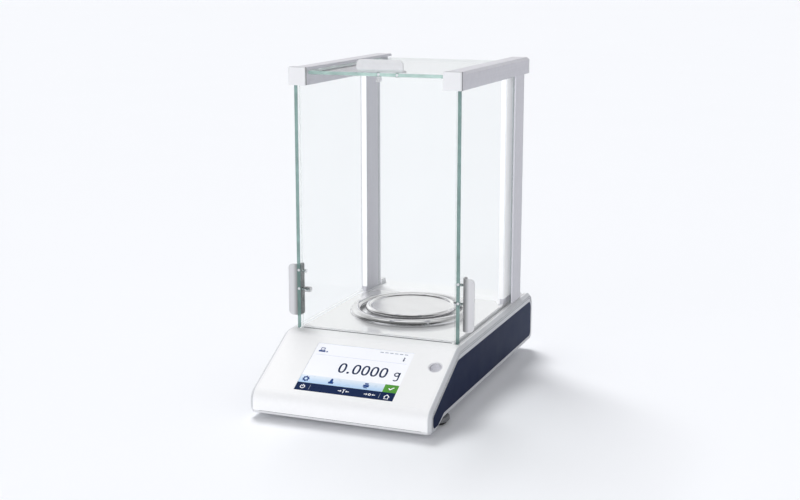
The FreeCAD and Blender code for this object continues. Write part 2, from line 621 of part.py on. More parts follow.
def weighing_cell():
    """Force-restoring cell: bracket, block with parallel guides, lever, coil and magnet."""
    low = "belly + tray_thick"
    top = low + " + plate_thick"
    bracket = box("cell_bracket", ("-plate_half", "plate_half"), ("plate_front", "plate_rear"), (low, top))
    wide = ("-cell_half - 1", "cell_half + 1")
    guides = ("load_end", "fixed_end")
    blank = box("cell_blank", ("-cell_half", "cell_half"), ("cell_front", "cell_rear"), (top, "cell_high"))
    gaps = [
        box("cell_window", wide, ("load_end + 4", "fixed_end - 4"), ("guide_low", "guide_high + hinge_gap")),
        box("lower_guide_gap", wide, guides, ("guide_low", "guide_low + hinge_gap")),
        box("upper_guide_gap", wide, guides, ("guide_high", "guide_high + hinge_gap")),
        box("load_end_gap", wide, ("cell_front - 1", "load_end"), (top, top + " + hinge_gap")),
        box("lever_way", ("-lever_half - 3", "lever_half + 3"), ("fixed_end - 5", "cell_rear + 1"),
            ("lever_low - 2", "lever_high + 2")),
    ]
    block = cut("cell_body", blank, gaps)
    lever = box("cell_lever", ("-lever_half", "lever_half"), ("lever_front", "lever_rear"),
                ("lever_low", "lever_high"))
    strip = ("load_end + 4", "load_end + 4 + strip_thick")
    strips = [
        box("flexure%d" % index, ("-strip_half", "strip_half"), strip, span)
        for index, span in enumerate((("lever_high", "guide_high"), ("guide_low + hinge_gap", "lever_low")))
    ]
    flexures = group("cell_flexures", strips)
    pot = rod("pot_blank", "magnet_rad", "0", "magnet_back", (top, "magnet_high"))
    outside = rod("pot_gap_outside", "coil_rad + coil_wall", "0", "magnet_back",
                  ("pot_floor", "magnet_high + 5"))
    pole = rod("pot_pole", "pole_rad", "0", "magnet_back", ("pot_floor - 1", "magnet_high + 6"))
    magnet = cut("magnet_pot", pot, [cut("pot_gap", outside, [pole])])
    coil_blank = rod("coil_outside", "coil_rad", "0", "magnet_back", ("coil_low", "lever_low"))
    coil_bore = rod("coil_inside", "coil_rad - coil_wall", "0", "magnet_back",
                    ("coil_low - 1", "lever_low + 1"))
    coil = cut("force_coil", coil_blank, [coil_bore])
    flange_top = "cell_high + flange_high"
    flange = rod("cone_flange", "flange_rad", "0", "pan_back", ("cell_high", flange_top))
    cone = rod("cone_post", "cone_rad", "0", "pan_back", (flange_top, "cone_top"))
    carrier = fuse("load_carrier", [flange, cone])
    return [bracket, block, lever, flexures, magnet, coil, carrier]


# the board's larger parts: left edge, front edge, width, depth and height
BOARD_CHIPS = [(-78, 40, 14, 14, 1.6), (-60, 70, 8, 12, 2), (-80, 80, 12, 8, 6), (-62, 110, 10, 10, 8)]


def electronics():
    """Main circuit board with its larger parts, on four posts, and the strip that carries the sockets."""
    low = "board_top - board_thick"
    board = [
        box("board_sheet", ("-board_out", "-board_in"), ("board_front", "board_rear"), (low, "board_top")),
        box("socket_strip", ("-strip_left", "strip_right"), ("strip_front", "strip_rear"),
            (low, "board_top")),
    ]
    for index, (x, y, wide, deep, high) in enumerate(BOARD_CHIPS):
        board.append(box("board_chip%d" % index, (str(x), str(x + wide)), (str(y), str(y + deep)),
                         ("board_top", "board_top + %s" % high)))
    spots = [
        (across, back)
        for across in ("-board_out + post_inset", "-board_in - post_inset")
        for back in ("board_front + post_inset", "board_rear - post_inset")
    ]
    posts = [
        rod("board_post%d" % index, "post_rad", *spot, ("belly + tray_thick", low))
        for index, spot in enumerate(spots)
    ]
    return [fuse("main_board", board), group("board_posts", posts)]


# ---------------------------------------------------------------- draft shield frame
def door_tracks():
    """Channels in the deck that the side doors slide in, open at both ends."""
    bar = box("track_bar", ("track_in", "track_out"), ("-track_front", "track_rear"),
              ("track_low", "track_top"))
    slot = box("track_groove", ("track_slot_in", "track_slot_out"), ("-track_front - 1", "track_rear + 1"),
               ("track_floor", "track_top + 1"))
    right = cut("right_door_track", bar, [slot])
    return [right, mirrored("left_door_track", right)]


def rail_section(inset="0"):
    """Section of a top rail: groove for the top door inside, groove for the side door underneath."""
    out, top = "rail_out - (%s)" % inset, "rail_top - rail_step"
    groove_roof, groove_floor = "lid_low + lid_thick + lid_play", "lid_low - lid_play"
    groove_back, slot_in, slot_roof = "lid_half + lid_side_play", "track_slot_in - 0.1", "door_high + 1"
    return [
        ("rail_in", top), ("rail_in", groove_roof), (groove_back, groove_roof), (groove_back, groove_floor),
        ("rail_in", groove_floor), ("rail_in", "rail_low"), (slot_in, "rail_low"), (slot_in, slot_roof),
        ("leg_in", slot_roof), ("leg_in", "rail_low"), (out, "rail_low"), (out, top + " - rail_bevel"),
        (out + " - rail_bevel", top),
    ]


def rails():
    """Top rails with an end piece at the rear of each."""
    right = prism("right_top_rail", "XZ", rail_section(), "-rail_front", "rail_back + rail_front")
    end = prism("rail_end_blank", "XZ", rail_section("0.1"), "rail_back", "rail_end")
    rear, top = value("rail_back + rail_end"), value("rail_top - rail_step")

    def upper_rear(edge):
        spot = middle(edge)
        return abs(spot.y - rear) < 0.01 and abs(spot.z - top) < 0.01

    soften(end, "Fillet", "rail_end_round", upper_rear)
    ends = group("rail_end_caps", [end, mirrored("rail_end_left", end)])
    return [right, mirrored("left_top_rail", right), ends]


def front_caps():
    """White block that closes the front of each rail, joined to it by a core over the door glass."""
    block = prism("cap_block", "XZ", [
        ("rail_in", "rail_low"), ("cap_out", "rail_low"), ("cap_out", "rail_top"), ("rail_in", "rail_top"),
    ], "-cap_front", "cap_deep")
    front, out, top = -value("cap_front"), value("cap_out"), value("rail_top")

    def front_or_top(edge):
        spot = middle(edge)
        return abs(spot.y - front) < 0.05 or abs(spot.z - top) < 0.05

    soften(block, "Fillet", "cap_round", along("z", [(out, front)]))
    soften(block, "Fillet", "cap_edge", front_or_top)
    core = box("cap_core", ("lid_half + 1.5", "cap_out - 1.6"), ("-cap_front + cap_deep", "-rail_front"),
               ("pane_high + 0.3", "rail_top - 1.8"))
    right = fuse("right_front_cap", [block, core])
    return [right, mirrored("left_front_cap", right)]


def columns():
    """Rear column inside the door, outer leg outside it, and the foot plate under the column."""
    foot_top = "deck_top + column_foot_high"
    column = prism("right_rear_column", "XY", [
        ("column_in", "column_front"), ("column_out", "column_front"), ("column_out", "column_rear"),
        ("column_in", "column_rear"),
    ], foot_top, "rail_low - (%s)" % foot_top)
    front_edges = [(value(x), value("column_front")) for x in ("column_in", "column_out")]
    soften(column, "Fillet", "column_round", along("z", front_edges))
    leg = prism("right_outer_leg", "XY", [
        ("leg_in", "leg_front"), ("leg_out", "leg_front"), ("leg_out", "column_rear"),
        ("leg_in", "column_rear"),
    ], "track_top", "rail_low - track_top")
    outer_edges = [(value("leg_out"), value(y)) for y in ("leg_front", "column_rear")]
    soften(leg, "Fillet", "leg_round", along("z", outer_edges))
    pad = box("column_foot_pad", ("column_in - column_foot_wide", "track_in"),
              ("column_front - 1", "column_rear + column_foot_long"), ("deck_top", foot_top))
    block = box("column_foot_block", ("column_in - 1", "track_in - 0.4"),
                ("column_rear + 1.5", "column_rear + column_foot_long - 1"),
                (foot_top, "deck_top + column_block_high"))
    foot = fuse("column_foot_right", [pad, block])
    feet = group("column_feet", [foot, mirrored("column_foot_left", foot)])
    return [column, mirrored("left_rear_column", column), leg, mirrored("left_outer_leg", leg), feet]


def panes():
    """Fixed front and rear glass, the rear one notched at the top round the rails."""
    front = box("front_glass", ("-front_glass_half", "front_glass_half"),
                ("-front_glass_back - glass", "-front_glass_back"), ("deck_top", "pane_high"))
    span = ("rear_glass_at", "rear_glass_at + glass")
    full = box("rear_pane_blank", ("-rear_glass_half", "rear_glass_half"), span,
               ("deck_top + column_foot_high + 0.1", "pane_high"))
    sides = (("right", ("rail_in - 0.3", "base_width/2")), ("left", ("-base_width/2", "-rail_in + 0.3")))
    corners = [
        box("rear_pane_notch_" + side, limits, ("rear_glass_at - 1", "rear_glass_at + glass + 1"),
            ("rail_low - 0.3", "pane_high + 1"))
        for side, limits in sides
    ]
    return [front, cut("rear_glass", full, corners)]


# ---------------------------------------------------------------- doors
def grip(name, long="grip_long", aside="0"):
    """L-shaped handle, 'long' along Z, its foot on the YZ plane and its fin at the front.

    The middle of its length lies 'aside' of the peg, along Z.
    """
    low, high = "%s - (%s)/2" % (aside, long), "%s + (%s)/2" % (aside, long)
    body = prism(name, "XY", [
        ("0", "0"), ("grip_out", "0"), ("grip_out", "grip_thick"), ("grip_thick", "grip_thick"),
        ("grip_thick", "grip_foot"), ("0", "grip_foot"),
    ], low, long)
    thick, out, foot = value("grip_thick"), value("grip_out"), value("grip_foot")
    soften(body, "Fillet", "grip_bend", along("z", [(0, 0)]))
    soften(body, "Fillet", "grip_bend - grip_thick", along("z", [(thick, thick)]))
    ends = [value(low), value(high)]
    soften(body, "Fillet", "grip_corner", along("y", [(out, end) for end in ends]))
    soften(body, "Fillet", "grip_foot_corner", along("x", [(foot, end) for end in ends]))
    return body


def fixings(name, thick, play="0", screw_up="screw_up"):
    """Round peg and small screw that hold a handle through the glass, along X from the handle's foot.

    With some play they are the tools that bore the glass.
    """
    inner = "-(%s)" % thick
    rows = (("peg", "peg_rad", "peg_long", "0"), ("screw", "screw_rad", "screw_proud", screw_up))
    pieces = []
    for part, radius, proud, up in rows:
        label = "%s_%s" % (name, part)
        head = rod_along_x(label + "_head", radius, (inner + " - " + proud, inner), "peg_back", up)
        shank = rod_along_x(label + "_shank", "shank_rad + (%s)" % play, (inner + " - 0.5", "0"),
                            "peg_back", up)
        pieces.append(fuse(label, [head, shank]))
    return group(name, pieces)


def side_doors():
    """Sliding glass, handle and fixings of each side."""
    sheet = box("door_sheet", ("door_out - glass", "door_out"), ("-door_front", "door_rear"),
                ("door_low", "door_high"))
    spot = ("door_out", "-grip_front", "grip_mid")
    handle = put(grip("right_door_handle"), *spot)
    clamps = put(fixings("right_door_fixings", "glass"), *spot)
    pane = cut("right_door_glass", sheet, [put(fixings("door_bores", "glass", "shank_play"), *spot)])
    made = [pane, handle, clamps]
    names = ("left_door_glass", "left_door_handle", "left_door_fixings")
    return made + [mirrored(name, piece) for name, piece in zip(names, made)]


def top_door():
    """Sliding glass lid with a shorter handle of the same kind, its fin standing up."""
    thick = "lid_thick"
    sheet = box("lid_sheet", ("-lid_half", "lid_half"), ("-lid_front", "lid_rear"),
                ("lid_low", "lid_low + " + thick))
    upward = App.Placement(App.Vector(), App.Rotation(App.Vector(0, 1, 0), -90))
    pieces = [
        grip("top_door_handle", "lid_grip_long", "-lid_grip_side"),
        fixings("top_door_fixings", thick, screw_up="-screw_up"),
        fixings("lid_bores", thick, "shank_play", "-screw_up"),
    ]
    for piece in pieces:
        piece.Placement = upward
        put(piece, "0", "-lid_front + lid_grip_back", "lid_low + " + thick)
    handle, clamps, bores = pieces
    return [cut("top_door_glass", sheet, [bores]), handle, clamps]


# ---------------------------------------------------------------- feet
def levelling_foot():
    """Right-hand front foot: rubber pad, and a threaded spindle with its wheel; brass insert."""
    spot = ("foot_across", "-foot_front")
    pad = turned("right_foot_pad", [
        ("0", "0"), ("foot_pad_rad - foot_edge", "0"), ("foot_pad_rad", "foot_edge"),
        ("foot_pad_rad", "foot_pad_high"), ("0", "foot_pad_high"),
    ], *spot)
    wheel = turned("right_foot_screw", [
        ("0", "wheel_low"), ("wheel_rad - foot_edge", "wheel_low"), ("wheel_rad", "wheel_low + foot_edge"),
        ("wheel_rad", "wheel_high - foot_edge"), ("wheel_rad - foot_edge", "wheel_high"),
        ("thread_rad", "wheel_high"), ("thread_rad", "spindle_top"), ("0", "spindle_top"),
    ], *spot)
    blank = rod("insert_blank", "insert_rad", *spot, ("belly", "insert_top"))
    bore = rod("insert_bore", "thread_rad + thread_play", *spot, ("belly - 5", "insert_top + 5"))
    insert = cut("foot_insert_right", blank, [bore])
    inserts = group("foot_inserts", [insert, mirrored("foot_insert_left", insert)])
    return [pad, mirrored("left_foot_pad", pad), wheel, mirrored("left_foot_screw", wheel), inserts]


def rear_feet():
    """Fixed rubber feet at the rear."""
    narrow = "back_foot_rad - foot_edge"
    right = turned("rear_foot_right", [
        ("0", "0"), (narrow, "0"), ("back_foot_rad", "foot_edge"), (narrow, "belly"), ("0", "belly"),
    ], "back_foot_across", "back_foot_back")
    return [group("rear_feet", [right, mirrored("rear_foot_left", right)])]


# ---------------------------------------------------------------- build, check and write
MOST_NODES = 60


def check(pieces):
    """Stops if any object failed or any sub-part is empty or broken."""
    DOC.recompute()
    faults = [thing.Name for thing in DOC.Objects if "Invalid" in thing.State or "Error" in thing.State]
    for piece in pieces:
        if piece.Shape.isNull() or not piece.Shape.isValid() or not piece.Shape.Solids:
            faults.append(piece.Label)
    if faults:
        raise RuntimeError("faulty: " + ", ".join(faults))
    if len(pieces) > MOST_NODES:
        raise RuntimeError("too many nodes: %d" % len(pieces))


def main():
    fill_sheet()
    makers = (
        upper_housing, lower_housing, housing_screws, hook_cover, side_pieces, terminal, level, sockets,
        floor_plate, weighing_pan, pan_support, wind_ring, weighing_cell, electronics, door_tracks, rails,
        front_caps, columns, panes, side_doors, top_door, levelling_foot, rear_feet,
    )
    pieces = [piece for maker in makers for piece in maker()]
    check(pieces)
    os.makedirs("parts", exist_ok=True)
    for piece in pieces:
        piece.Shape.exportStep("parts/%s.step" % piece.Label)
    print(len(pieces), "nodes")


main()
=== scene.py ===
"""Looks of the analytical balance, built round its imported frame. Lengths are in metres."""
import math

import bmesh
import bpy
from mathutils import Matrix, Vector


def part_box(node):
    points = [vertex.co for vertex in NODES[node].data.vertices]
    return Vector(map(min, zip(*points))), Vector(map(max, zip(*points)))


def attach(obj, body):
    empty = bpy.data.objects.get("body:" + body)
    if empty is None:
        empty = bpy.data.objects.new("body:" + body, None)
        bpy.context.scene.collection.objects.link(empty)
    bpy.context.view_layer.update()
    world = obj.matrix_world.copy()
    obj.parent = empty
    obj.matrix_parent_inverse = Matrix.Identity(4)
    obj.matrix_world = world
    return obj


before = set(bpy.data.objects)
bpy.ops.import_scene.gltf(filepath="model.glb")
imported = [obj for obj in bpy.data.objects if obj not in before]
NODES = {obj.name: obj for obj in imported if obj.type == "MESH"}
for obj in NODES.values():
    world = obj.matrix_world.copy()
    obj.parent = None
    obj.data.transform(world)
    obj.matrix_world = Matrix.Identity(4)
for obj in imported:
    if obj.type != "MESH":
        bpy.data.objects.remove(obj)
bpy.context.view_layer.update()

MM = 0.001
SIDES = (("right", 1), ("left", -1))


# ---------------------------------------------------------------- node trees
class Nodes:
    """A cleared node tree, with short ways to add, join and calculate."""

    def __init__(self, owner):
        owner.use_nodes = True
        self.tree = owner.node_tree
        self.tree.nodes.clear()

    def add(self, kind, **settings):
        node = self.tree.nodes.new(kind)
        for key, setting in settings.items():
            setattr(node, key, setting)
        return node

    def link(self, start, end):
        self.tree.links.new(start, end)

    def feed(self, sockets, entries):
        """Gives each socket its entry: a number, a colour or another node's output."""
        for socket, entry in zip(sockets, entries):
            if isinstance(entry, (int, float, tuple)):
                socket.default_value = entry
            else:
                self.link(entry, socket)

    def math(self, operation, *values):
        node = self.add("ShaderNodeMath", operation=operation)
        self.feed(node.inputs, values)
        return node.outputs[0]

    def ranged(self, field, first, last, low=0.0, high=1.0):
        """The field's stretch from first to last, mapped to low to high and held there beyond it."""
        node = self.add("ShaderNodeMapRange")
        node.inputs["From Min"].default_value = first
        node.inputs["From Max"].default_value = last
        node.inputs["To Min"].default_value = low
        node.inputs["To Max"].default_value = high
        self.link(field, node.inputs["Value"])
        return node.outputs[0]

    def split(self, vector):
        """A vector's X, Y and Z."""
        node = self.add("ShaderNodeSeparateXYZ")
        self.link(vector, node.inputs[0])
        return node.outputs

    def mix(self, factor, first, second):
        """A colour between two, each a colour or a socket."""
        node = self.add("ShaderNodeMix", data_type="RGBA")
        self.feed((node.inputs["Factor"], node.inputs[6], node.inputs[7]), (factor, first, second))
        return node.outputs[2]

    def mix_shader(self, factor, first, second):
        node = self.add("ShaderNodeMixShader")
        self.feed(node.inputs, (factor, first, second))
        return node.outputs[0]


class Paint(Nodes):
    """A material's node tree around one Principled shader, on the object's own coordinates."""

    def __init__(self, name, colour, roughness, metallic=0.0, **uniform):
        self.material = bpy.data.materials.new(name)
        super().__init__(self.material)
        self.output = self.add("ShaderNodeOutputMaterial")
        self.shader = self.add("ShaderNodeBsdfPrincipled")
        self.link(self.shader.outputs[0], self.output.inputs["Surface"])
        self.coords = self.add("ShaderNodeTexCoord").outputs["Object"]
        self.shader.inputs["Metallic"].default_value = metallic
        for socket, number in uniform.items():
            self.shader.inputs[socket.replace("_", " ")].default_value = number
        self.colour = (*colour, 1)
        self.shader.inputs["Base Color"].default_value = self.colour
        self.shader.inputs["Roughness"].default_value = roughness
        self.roughness = roughness

    def stretched(self, scale):
        mapping = self.add("ShaderNodeMapping")
        mapping.inputs["Scale"].default_value = scale
        self.link(self.coords, mapping.inputs["Vector"])
        return mapping.outputs[0]

    def noise(self, scale, detail=3.0, along=(1, 1, 1)):
        """A noise field: scale is its number of grains in a metre."""
        node = self.add("ShaderNodeTexNoise")
        node.inputs["Scale"].default_value = scale
        node.inputs["Detail"].default_value = detail
        self.link(self.stretched(along), node.inputs["Vector"])
        return node.outputs["Fac"]

    def spread(self, field, low, high):
        """The field's middle range stretched between two numbers."""
        return self.ranged(field, 0.3, 0.7, low, high)

    def vary_colour(self, amount, scale, along=(1, 1, 1)):
        dark = tuple(c * (1 - amount) for c in self.colour[:3]) + (1,)
        self.link(self.mix(self.spread(self.noise(scale, 4, along), 0, 1), dark, self.colour),
                  self.shader.inputs["Base Color"])
        return self

    def vary_roughness(self, amount, scale, along=(1, 1, 1)):
        field = self.spread(self.noise(scale, 4, along), self.roughness - amount, self.roughness + amount)
        self.link(field, self.shader.inputs["Roughness"])
        return self

    def bump(self, height, depth):
        node = self.add("ShaderNodeBump")
        node.inputs["Strength"].default_value = 1
        node.inputs["Distance"].default_value = depth
        self.link(height, node.inputs["Height"])
        self.link(node.outputs[0], self.shader.inputs["Normal"])
        return self

    def worn_edges(self, amount, brighter):
        """Edges rubbed a little lighter or darker, broken up by noise."""
        point = self.add("ShaderNodeNewGeometry").outputs["Pointiness"]
        edge = self.ranged(point, 0.52, 0.62, 0, amount)
        patchy = self.math("MULTIPLY", edge, self.spread(self.noise(220, 3), 0.2, 1))
        base = self.shader.inputs["Base Color"]
        source = base.links[0].from_socket if base.is_linked else self.colour
        rubbed = tuple(min(1, c * brighter) for c in self.colour[:3]) + (1,)
        self.link(self.mix(patchy, source, rubbed), base)
        return self

    def glow(self, colour, strength):
        self.shader.inputs["Emission Color"].default_value = (*colour, 1)
        self.shader.inputs["Emission Strength"].default_value = strength
        return self


# ---------------------------------------------------------------- node materials
def plastic(name, colour, roughness, grain=1400, depth=0.00003):
    """Moulded plastic: fine spark-eroded grain, faint flow marks and rubbed edges."""
    paint = Paint(name, colour, roughness, Specular_IOR_Level=0.45)
    paint.vary_colour(0.016, 14).vary_roughness(0.04, 60)
    paint.bump(paint.noise(grain, 2), depth)
    return paint.worn_edges(0.35, 1.06).material


def glowing_moulding(name, colour, glow):
    """Thin pale moulding with painted light: a weak glow of its own brightens it where it lies in shade,
    standing in for what its walls carry through.
    """
    paint = Paint(name, colour, 0.4, Specular_IOR_Level=0.4).glow(colour, glow)
    paint.vary_colour(0.03, 30).vary_roughness(0.05, 70)
    return paint.bump(paint.noise(1200, 2), 0.00002).material


def brushed(name, colour, roughness, along, depth=0.00002, metallic=1.0):
    """Metal with its grain drawn out along one direction: small scales run with the grain."""
    paint = Paint(name, colour, roughness, metallic)
    paint.vary_colour(0.06, 300, along).vary_roughness(0.07, 420, along)
    paint.bump(paint.noise(900, 2, along), depth)
    return paint.worn_edges(0.4, 1.15).material


def grip_coat(name, colour, shade):
    """Brushed coat on the side grips, with painted shade: darker by the factor shade where they bend in to
    the glass.

    The bend lies between two distances from the balance's middle plane.
    """
    bend_inner, bend_outer = 93.5 * MM, 98.5 * MM
    paint = Paint(name, colour, 0.4, 0.15)
    paint.vary_colour(0.05, 300, ALONG_Z).vary_roughness(0.06, 420, ALONG_Z)
    paint.bump(paint.noise(900, 2, ALONG_Z), 0.00002)
    reach = paint.math("ABSOLUTE", paint.split(paint.coords)[0])
    # Painted shade: the coat's colour is scaled down where the grip bends in to the glass, standing for the
    # shade there.
    bend_shade = paint.add("ShaderNodeVectorMath", operation="SCALE")
    paint.link(paint.shader.inputs["Base Color"].links[0].from_socket, bend_shade.inputs[0])
    paint.link(paint.ranged(reach, bend_inner, bend_outer, shade), bend_shade.inputs["Scale"])
    paint.link(bend_shade.outputs[0], paint.shader.inputs["Base Color"])
    return paint.material


def rubber(name, colour):
    paint = Paint(name, colour, 0.78, Specular_IOR_Level=0.3)
    paint.vary_colour(0.15, 50).vary_roughness(0.08, 90)
    return paint.bump(paint.noise(700, 4), 0.00008).material


def enamel(name, colour):
    """Glossy coated sheet with a trace of orange peel."""
    paint = Paint(name, colour, 0.09, Specular_IOR_Level=0.6)
    paint.vary_colour(0.02, 20).vary_roughness(0.03, 120)
    paint.shader.inputs["Coat Weight"].default_value = 1.0
    paint.shader.inputs["Coat Roughness"].default_value = 0.05
    return paint.bump(paint.noise(260, 1), 0.000006).material


def turned_steel(name, colour, roughness, centre, satin=None, satin_reach=0):
    """Stainless steel polished on a lathe, with very fine rings about an upright axis.

    Inside satin_reach of the axis the surface is rougher, where a satin roughness is given.
    """
    ring_pitch = 0.6 * MM
    paint = Paint(name, colour, roughness, 1.0)
    paint.vary_colour(0.05, 60).vary_roughness(0.02, 200)
    place = paint.add("ShaderNodeVectorMath", operation="SUBTRACT")
    place.inputs[1].default_value = centre
    paint.link(paint.coords, place.inputs[0])
    flat = paint.add("ShaderNodeVectorMath", operation="MULTIPLY")
    flat.inputs[1].default_value = (1, 1, 0)
    paint.link(place.outputs[0], flat.inputs[0])
    length = paint.add("ShaderNodeVectorMath", operation="LENGTH")
    paint.link(flat.outputs[0], length.inputs[0])
    reach = length.outputs["Value"]
    if satin is not None:
        polished = paint.shader.inputs["Roughness"].links[0].from_socket
        inside = paint.math("LESS_THAN", reach, satin_reach)
        extra = paint.math("MULTIPLY", inside, satin - roughness)
        paint.link(paint.math("ADD", polished, extra), paint.shader.inputs["Roughness"])
    waves = paint.math("SINE", paint.math("MULTIPLY", reach, 2 * math.pi / ring_pitch))
    return paint.bump(waves, 0.0000012).material


def board_green(name):
    """Solder mask with the faint relief of tracks under it."""
    paint = Paint(name, (0.02, 0.16, 0.07), 0.35)
    tracks = paint.add("ShaderNodeTexBrick")
    tracks.inputs["Scale"].default_value = 160
    tracks.inputs["Color1"].default_value = (0.02, 0.17, 0.07, 1)
    tracks.inputs["Color2"].default_value = (0.02, 0.13, 0.06, 1)
    tracks.inputs["Mortar"].default_value = (0.05, 0.26, 0.11, 1)
    tracks.inputs["Mortar Size"].default_value = 0.012
    paint.link(paint.coords, tracks.inputs["Vector"])
    paint.link(tracks.outputs["Color"], paint.shader.inputs["Base Color"])
    paint.vary_roughness(0.06, 80)
    return paint.bump(tracks.outputs["Fac"], 0.00004).material


def pane(name, thin_axis, edge_colour, edge_share=1.0, rear_share=1.0, tint=(0.994, 0.998, 0.996)):
    """Float glass: clear, lightly mirroring broad faces, and cut edges that show its green.

    thin_axis is the index of the axis that the sheet is thin along. edge_share is how solid the
    cut edges look, and rear_share how much of that the rear edge keeps: those held in a frame or
    a groove let their surroundings through, as a bottom edge does.
    """
    mirror_share = 0.5
    paint = Paint(name, edge_colour, 0.16, Transmission_Weight=0.35, IOR=1.5)
    paint.vary_colour(0.3, 90).vary_roughness(0.06, 300)
    paint.bump(paint.noise(700, 3), 0.00002)
    clear = paint.add("ShaderNodeBsdfTransparent")
    smear = paint.spread(paint.noise(16, 4), 0, 1)
    darker = tuple(c - 0.003 for c in tint) + (1,)
    paint.link(paint.mix(smear, darker, (*tint, 1)), clear.inputs["Color"])
    mirror = paint.add("ShaderNodeBsdfGlossy")
    mirror.inputs["Roughness"].default_value = 0.02
    fresnel = paint.add("ShaderNodeFresnel")
    fresnel.inputs["IOR"].default_value = 1.5
    surface = paint.add("ShaderNodeNewGeometry").outputs
    entering = paint.math("SUBTRACT", 1, surface["Backfacing"])
    mirrored = paint.math("MULTIPLY", fresnel.outputs[0], paint.math("MULTIPLY", entering, mirror_share))
    face = paint.mix_shader(mirrored, clear.outputs[0], mirror.outputs[0])
    # The reported normal is flipped on back faces, so outward turns it back again.
    normal = paint.split(surface["True Normal"])
    outward = paint.math("SUBTRACT", 1, paint.math("MULTIPLY", 2, surface["Backfacing"]))
    broad = paint.math("GREATER_THAN", paint.math("ABSOLUTE", normal[thin_axis]), 0.7)
    solid = paint.math("MULTIPLY", paint.math("SUBTRACT", 1, broad), edge_share)
    below = paint.math("LESS_THAN", paint.math("MULTIPLY", normal[2], outward), -0.7)
    solid = paint.math("MULTIPLY", solid, paint.math("SUBTRACT", 1, below))
    behind = paint.math("GREATER_THAN", paint.math("MULTIPLY", normal[1], outward), 0.5)
    behind = paint.math("MULTIPLY", behind, 1 - rear_share)
    solid = paint.math("MULTIPLY", solid, paint.math("SUBTRACT", 1, behind))
    paint.link(paint.mix_shader(solid, face, paint.shader.outputs[0]), paint.output.inputs["Surface"])
    return paint.material


def lit(name, colour, strength):
    """Part of the lit display: its own light, under a softly glossy cover."""
    paint = Paint(name, colour, 0.3, Specular_IOR_Level=0.04).glow(colour, strength)
    paint.vary_roughness(0.04, 150)
    return paint.bump(paint.noise(900, 2), 0.000003).material


PAN_CENTRE = tuple((a + b) / 2 for a, b in zip(*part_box("weighing_pan")))
SATIN_REACH = 43.2 * MM
ALONG_X = (0.02, 1, 1)
ALONG_Y = (1, 0.02, 1)
ALONG_Z = (1, 1, 0.02)
NO_GRAIN = (1, 1, 1)
WHITE = plastic("white_moulding", (0.91, 0.912, 0.925), 0.38)
CAP_WHITE = plastic("cap_moulding", (0.79, 0.793, 0.815), 0.38)
# Painted shade: the level's cup is greyer than the housing's white, standing for the shade in its recess.
SHADED_CUP_WHITE = plastic("level_moulding", (0.76, 0.76, 0.79), 0.38)
# Painted light: the column facings glow faintly, lifting them out of the shade they sit in.
GLOWING_FACING = glowing_moulding("glowing_facing_white", (0.92, 0.92, 0.935), 0.2)
GREY = plastic("grey_moulding", (0.62, 0.63, 0.66), 0.4)
TRAY = plastic("tray_moulding", (0.72, 0.725, 0.745), 0.5)
DARK = plastic("black_moulding", (0.02, 0.02, 0.022), 0.5)
TRACK = plastic("track_moulding", (0.7, 0.7, 0.72), 0.4)
# Painted light: the left door track glows faintly, lifting it out of the shade in its groove.
GLOWING_LEFT_TRACK = glowing_moulding("glowing_track_moulding", (0.8, 0.805, 0.82), 0.36)
# Painted shade: dark lines stand for the shade in grooves, gaps and seams.
PAINTED_GROOVE_SHADE = plastic("groove_shade", (0.2, 0.205, 0.22), 0.55)
JOINT = plastic("cap_joint", (0.13, 0.13, 0.14), 0.5)
FOOT = plastic("foot_moulding", (0.17, 0.175, 0.185), 0.45)
OVERLAY = plastic("overlay_film", (0.92, 0.92, 0.93), 0.37, 2200, 0.000012)
RUBBER = rubber("foot_rubber", (0.035, 0.035, 0.037))
ENAMEL = enamel("floor_enamel", (0.8, 0.8, 0.82))
RAIL = brushed("anodised_rail", (0.61, 0.605, 0.655), 0.42, ALONG_Y, metallic=0.15)
COLUMN = brushed("anodised_column", (0.64, 0.635, 0.685), 0.45, ALONG_Z, metallic=0.1)
# Painted shade: the grips darken to 0.32 of their coat where they bend in to the glass.
HANDLE = grip_coat("handle_coat", (0.66, 0.66, 0.685), 0.32)
LID_HANDLE = brushed("lid_handle_coat", (0.74, 0.745, 0.76), 0.38, ALONG_X, metallic=0.25)
CHROME = brushed("bright_chrome", (0.8, 0.8, 0.82), 0.24, NO_GRAIN, 0.000003)
STEEL = brushed("plain_steel", (0.55, 0.55, 0.57), 0.3, NO_GRAIN)
SOCKET = brushed("tinned_steel", (0.6, 0.6, 0.62), 0.32, (1, 1, 0.1))
ALLOY = brushed("milled_alloy", (0.66, 0.67, 0.68), 0.35, (0.05, 1, 1))
IRON = brushed("plated_iron", (0.3, 0.3, 0.32), 0.4, (1, 1, 0.1))
BRASS = brushed("turned_brass", (0.72, 0.52, 0.2), 0.28, (1, 1, 0.1))
COPPER = brushed("enamelled_copper", (0.62, 0.26, 0.1), 0.3, (1, 1, 4))
PAN_STEEL = turned_steel("pan_steel", (0.9, 0.895, 0.91), 0.09, PAN_CENTRE, 0.33, SATIN_REACH)
RING_STEEL = turned_steel("ring_steel", (0.76, 0.755, 0.77), 0.09, PAN_CENTRE)
BOARD = board_green("solder_mask")
RIGHT_GLASS = pane("right_pane_glass", 0, (0.14, 0.25, 0.23), rear_share=0.4)
LEFT_GLASS = pane("left_pane_glass", 0, (0.18, 0.31, 0.285), rear_share=0.4)
FRONT_GLASS = pane("front_pane_glass", 1, (0.36, 0.55, 0.5), 0.2)
REAR_GLASS = pane("rear_pane_glass", 1, (0.62, 0.68, 0.68), 0.3)
LID_GLASS = pane("lid_glass", 2, (0.46, 0.66, 0.6), rear_share=0.15)
LENS = pane("level_glass", 2, (0.8, 0.81, 0.84), 0.5, tint=(0.97, 0.97, 0.98))


